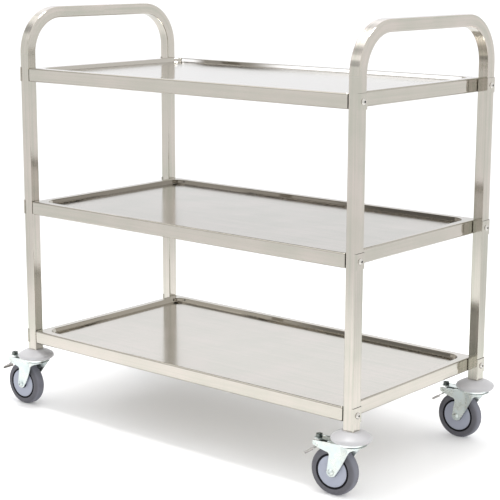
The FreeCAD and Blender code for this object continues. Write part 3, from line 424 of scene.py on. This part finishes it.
def brushed_steel(name, colour, roughness, grain_place, line_direction, streaking, pressed=False):
    """Steel brushed along its lines. A pressed sheet gets painted reflections and shade on its walls and folds."""
    material, graph, shader = new_material(name)
    place = graph.place()
    stretched = grain_place(graph, place)
    fine = graph.noise(stretched, *FINE_LINES)
    broad = graph.noise(stretched, *BROAD_LINES)
    cloud = graph.noise(place, *STEEL_CLOUD)
    lines = graph.times(graph.plus(fine, broad), 0.5)
    tone = graph.plus(graph.times(lines, LINES_SHARE), graph.times(cloud, 1 - LINES_SHARE))
    spread = graph.ramp(tone, *STREAK_RANGE, 0.5 - streaking / 2, 0.5 + streaking / 2)
    metal = graph.mix(spread, tint(colour, STREAK_DARK), tint(colour, STREAK_LIGHT))
    rough = uneven(graph, tone, STEEL_RANGE, roughness, STEEL_GLOSS)
    if pressed:
        bent = pressed_share(graph)
        # Painted reflections and shade on the trays' walls and folds.
        metal = graph.mix(bent, metal, pressed_painted_tone(graph, place, colour))
        # Painted shadow where the aprons run in behind the right-hand legs.
        metal = graph.mix(seam_shadow_share(graph, place), metal, SEAM_PAINTED_SHADOW)
        rough = graph.times(rough, graph.less(1.0, graph.times(bent, WALL_POLISH)))
    set_surface(graph, shader, metal, rough, graph.bump(fine, *STEEL_RELIEF), 1.0)
    across = graph.vector("CROSS_PRODUCT", graph.normal(), line_direction(graph, place))
    graph.join(graph.vector("NORMALIZE", across), shader.inputs["Tangent"])
    shader.inputs["Anisotropic"].default_value = ANISOTROPY
    return material


def end_skirt(graph):
    """One on the shelves' end skirts, nought elsewhere."""
    return graph.is_over(graph.facing(0), SKIRT_FACING)


def shelf_lines(graph, _):
    """Lines run along the cart, and across it on the end skirts."""
    end = end_skirt(graph)
    return graph.combine(graph.less(1.0, end), end, 0.0)


def shelf_grain(graph, place):
    """Place on a shelf, drawn out along its brushed lines."""
    x, y, z = graph.split(place)
    scale = graph.ramp(end_skirt(graph), 0.0, 1.0, GRAIN, GRAIN_ALONG)
    return graph.combine(graph.times(x, GRAIN_ALONG), graph.times(y, scale), graph.times(z, GRAIN))


def hoop_reach(graph, place):
    """How far a point is out past the bends' middles, level and upright."""
    _, y, z = graph.split(place)
    out = graph.less(graph.size(y), HOOP_HALF - HOOP_BEND)
    up = graph.less(z, HOOP_TOP - HOOP_BEND)
    return graph.math("MAXIMUM", out, LEAST_REACH), graph.math("MAXIMUM", up, 0.0)


def hoop_lines(graph, place):
    """Lines follow the tube: up the legs, round the bends and over the handle."""
    out, up = hoop_reach(graph, place)
    side = graph.math("SIGN", graph.split(place)[1])
    return graph.combine(0.0, graph.times(graph.times(up, side), -1.0), out)


def hoop_grain(graph, place):
    """Place on a hoop, drawn out along the tube, with other noise on its front and back."""
    x, y, z = graph.split(place)
    reach = graph.diagonal(*hoop_reach(graph, place))
    along = graph.less(z, graph.size(y))
    side = graph.times(graph.math("SIGN", y), SIDE_SHIFT)
    return graph.combine(
        graph.plus(graph.times(x, GRAIN), side),
        graph.times(reach, GRAIN),
        graph.times(along, GRAIN_ALONG),
    )


# Other finishes.

def zinc_plate(name, colour, roughness, grain_depth=0.0002):
    """Plated metal with faint warm and cool clouds."""
    material, graph, shader = new_material(name)
    place = graph.place()
    cloud = graph.noise(place, *ZINC_CLOUD)
    grain = graph.noise(place, *ZINC_GRAIN)
    metal = graph.mix(graph.ramp(cloud, *ZINC_RANGE), tint(colour, ZINC_WARM), tint(colour, ZINC_COOL))
    rough = uneven(graph, cloud, GLOSS_RANGE, roughness, PLATED_GLOSS)
    set_surface(graph, shader, metal, rough, graph.bump(grain, ZINC_STRENGTH, grain_depth), 1.0)
    return material


def fasteners(name, colour, low_reflection_colour, roughness):
    """Bright shelf screws with painted shade in their sockets, and caster screws darker for a painted dark
    reflection.
    """
    material, graph, shader = new_material(name)
    place = graph.place()
    _, y, z = graph.split(place)
    aside = graph.less(graph.size(y), HOOP_HALF)
    rises = [graph.size(graph.less(z, height)) for height in SCREW_HEIGHTS]
    rise = graph.math("MINIMUM", graph.math("MINIMUM", rises[0], rises[1]), rises[2])
    # Painted shade: a dark disc where each shelf screw's socket is.
    socket = graph.is_under(graph.diagonal(aside, rise), SOCKET_SHADE_RADIUS)
    low = graph.is_under(z, CASTER_TOP)
    cloud = graph.noise(place, *SCREW_CLOUD)
    # Caster screws get a darker colour, a painted dark reflection.
    metal = graph.mix(low, opaque(colour), opaque(low_reflection_colour))
    worn = graph.mix(graph.times(cloud, SCREW_WEAR_SHARE), metal, SCREW_WEAR)
    rough = uneven(graph, cloud, GLOSS_RANGE, roughness, SCREW_GLOSS)
    relief = graph.bump(cloud, *SCREW_RELIEF)
    set_surface(graph, shader, graph.mix(socket, worn, SOCKET_PAINTED_SHADE), rough, relief, 1.0)
    return material


def moulded(name, colour, roughness, grain_scale, grain_depth, spread=0.05, specular=0.5):
    """Moulded plastic with a fine grain, a little darker and lighter in places."""
    material, graph, shader = new_material(name)
    place = graph.place()
    cloud = graph.noise(place, *PLASTIC_CLOUD)
    grain = graph.noise(place, grain_scale, *PLASTIC_GRAIN)
    plastic = graph.mix(cloud, shade(colour, -spread), shade(colour, spread))
    rough = uneven(graph, cloud, GLOSS_RANGE, roughness, MATT_GLOSS)
    set_surface(graph, shader, plastic, rough, graph.bump(grain, PLASTIC_STRENGTH, grain_depth), 0.0)
    shader.inputs["Specular IOR Level"].default_value = specular
    return material


def tyre_rubber(corner, side, tread, roughness):
    """Rubber whose side walls are darker than its running face, told apart along the axle."""
    middle, axle = joint_line(corner + "_roll")
    material, graph, shader = new_material("tyre_rubber_" + corner)
    place = graph.place()
    aside = graph.size(graph.vector("DOT_PRODUCT", graph.vector("SUBTRACT", place, middle), axle))
    dust = graph.noise(place, *TYRE_DUST)
    grain = graph.noise(place, *TYRE_GRAIN)
    plain = graph.mix(graph.ramp(aside, *TYRE_WALL), opaque(tread), opaque(side))
    worn = graph.times(graph.ramp(dust, *DUST_RANGE), DUST_SHARE)
    rough = uneven(graph, dust, GLOSS_RANGE, roughness, MATT_GLOSS)
    relief = graph.bump(grain, *TYRE_RELIEF)
    set_surface(graph, shader, graph.mix(worn, plain, DUST_GREY), rough, relief, 0.0)
    shader.inputs["Specular IOR Level"].default_value = TYRE_SHINE
    return material


def pedal_zinc(corner, root, tip, roughness):
    """Plated pedal, darker round its pivot and paler towards its tip, with darker clouds of wear."""
    middle, pin = joint_line(corner + "_brake")
    material, graph, shader = new_material("pedal_zinc_" + corner)
    place = graph.place()
    across = graph.vector("CROSS_PRODUCT", graph.vector("SUBTRACT", place, middle), pin)
    reach = graph.vector("LENGTH", across)
    cloud = graph.noise(place, *PEDAL_CLOUD)
    plain = graph.mix(graph.ramp(reach, *PEDAL_ROOT), opaque(root), opaque(tip))
    worn = graph.times(graph.ramp(cloud, *PEDAL_RANGE), PEDAL_WEAR_SHARE)
    metal = graph.mix(worn, plain, shade(tip, -PEDAL_WEAR_DEPTH))
    rough = uneven(graph, cloud, GLOSS_RANGE, roughness, PLATED_GLOSS)
    set_surface(graph, shader, metal, rough, graph.bump(cloud, *PEDAL_RELIEF), 1.0)
    return material


# Materials by slot, and by node for the pieces that have one of their own. The first number is the
# roughness. Then steel has its streaking, plate its grain's depth, and plastic its grain's scale and
# depth and how far its clouds spread.

MATERIALS = {
    "shelf_steel": brushed_steel("shelf_steel", STEEL, 0.105, shelf_grain, shelf_lines, 0.62, pressed=True),
    "frame_steel": brushed_steel("frame_steel", STEEL, 0.14, hoop_grain, hoop_lines, 1.0),
    "fastener_steel": fasteners("fastener_steel", SCREW, LOW_SCREW_PAINTED_REFLECTION, 0.22),
    "zinc_plate": zinc_plate("zinc_plate", ZINC, 0.30),
    # The head cups' pale colour paints light into the shaded gap under the bumpers.
    "head_cups": zinc_plate("head_cups", HEAD_CUP_PAINTED_LIGHT, 0.07, 0.00003),
    "ball_steel": zinc_plate("ball_steel", BALL, 0.12),
    "insert_plastic": moulded("insert_plastic", INSERT, 0.55, 900.0, 0.0002),
    "bumper_plastic": moulded("bumper_plastic", BUMPER, 0.38, 700.0, 0.0001, 0.03),
    "wheel_black": moulded("wheel_black", WHEEL_CORE, 0.50, 900.0, 0.0001, specular=0.12),
    "cover_plastic": moulded("cover_plastic", HUB_COVER, 0.40, 800.0, 0.0001, 0.04),
}

for corner in ("front_left", "front_right", "back_left", "back_right"):
    MATERIALS["brake_pedal_" + corner] = pedal_zinc(corner, PEDAL_DARK, PEDAL_PALE, 0.32)
    MATERIALS["tyre_" + corner] = tyre_rubber(corner, TYRE_SIDE, TYRE_TREAD, 0.62)

SLOTS = {entry["node"]: entry["material_slot"] for entry in frame["record"]["subparts"]}


def dress_nodes():
    """Give every CAD node its own material, or else its slot's."""
    for name, node in NODES.items():
        node.data.materials.clear()
        node.data.materials.append(MATERIALS.get(name) or MATERIALS[SLOTS[name]])


# Stage: floor, sky, lamps and camera.

def make_floor():
    """Plain white floor, far wider than the cart."""
    half = FLOOR_HALF
    corners = [(-half, -half, 0.0), (half, -half, 0.0), (half, half, 0.0), (-half, half, 0.0)]
    mesh = bpy.data.meshes.new("floor")
    mesh.from_pydata(corners, [], [(0, 1, 2, 3)])
    floor = bpy.data.objects.new("floor", mesh)
    bpy.context.scene.collection.objects.link(floor)
    material, _, shader = new_material("floor_paint")
    shader.inputs["Base Color"].default_value = FLOOR_WHITE
    shader.inputs["Roughness"].default_value = FLOOR_ROUGHNESS
    shader.inputs["Specular IOR Level"].default_value = FLOOR_SHINE
    mesh.materials.append(material)


def span_mask(graph, value, low, high, soft):
    """One between two values, nought outside them, with soft edges."""
    rise = graph.ramp(value, low - soft, low + soft)
    fall = graph.ramp(value, high - soft, high + soft, 1.0, 0.0)
    return graph.times(rise, fall)


def panel_mask(graph, turn, height, panel):
    """One inside a panel, nought outside it; the edges above and below are half as soft."""
    turn_low, turn_high, height_low, height_high, _, soft = panel
    across = span_mask(graph, turn, turn_low, turn_high, soft)
    upright = span_mask(graph, height, height_low, height_high, soft / 2)
    return graph.times(across, upright)


def make_sky():
    """White studio with brighter and darker panels round the cart."""
    world = bpy.data.worlds.new("studio")
    bpy.context.scene.world = world
    world.use_nodes = True
    graph = Graph(world.node_tree)
    x, y, z = graph.split(graph.add("ShaderNodeTexCoord").outputs["Generated"])
    height = graph.times(graph.math("ARCSINE", z), math.degrees(1.0))
    turn = graph.times(graph.math("ARCTAN2", x, graph.times(y, -1.0)), math.degrees(1.0))
    level = graph.ramp(height, *SKY_RISE, SKY_HORIZON, SKY_TOP)
    for panel in PANELS:
        change = graph.times(panel_mask(graph, turn, height, panel), graph.less(panel[4], level))
        level = graph.plus(level, change)
    background = graph.nodes["Background"]
    back = panel_mask(graph, turn, height, BACK_SKY)
    graph.join(graph.mix(back, WHITE, COOL), background.inputs["Color"])
    graph.join(level, background.inputs["Strength"])


def make_lamp(name, aside, pool, soft, power, shadow):
    """Spot lamp that shines straight down on a round pool of floor."""
    data = bpy.data.lights.new(name, "SPOT")
    data.spot_size = 2 * math.atan(pool / LAMP_HEIGHT)
    data.spot_blend = soft
    data.shadow_soft_size = LAMP_RADIUS
    data.energy = power
    data.use_shadow = shadow
    lamp = bpy.data.objects.new(name, data)
    bpy.context.scene.collection.objects.link(lamp)
    lamp.location = (CART_MIDDLE + aside[0], aside[1], LAMP_HEIGHT)


def make_camera():
    """Camera at the photograph's viewing point."""
    data = bpy.data.cameras.new("camera")
    data.sensor_fit = "HORIZONTAL"
    data.sensor_width = SENSOR
    data.lens = CAMERA_LENS
    data.clip_end = CAMERA_REACH
    camera = bpy.data.objects.new("camera", data)
    bpy.context.scene.collection.objects.link(camera)
    forward = Vector((
        math.sin(CAMERA_YAW) * math.cos(CAMERA_PITCH),
        math.cos(CAMERA_YAW) * math.cos(CAMERA_PITCH),
        math.sin(CAMERA_PITCH),
    ))
    level_right = forward.cross(Vector((0.0, 0.0, 1.0))).normalized()
    level_up = level_right.cross(forward)
    right = level_right * math.cos(CAMERA_ROLL) + level_up * math.sin(CAMERA_ROLL)
    up = level_up * math.cos(CAMERA_ROLL) - level_right * math.sin(CAMERA_ROLL)
    camera.location = Vector(CAMERA_PLACE) + Vector((CART_MIDDLE, 0.0, 0.0))
    camera.rotation_euler = Matrix((right, up, -forward)).transposed().to_euler()
    bpy.context.scene.camera = camera


dress_nodes()
make_floor()
make_sky()
for lamp in LAMPS:
    make_lamp(*lamp)
make_camera()
bpy.context.scene.view_settings.view_transform = "Standard"
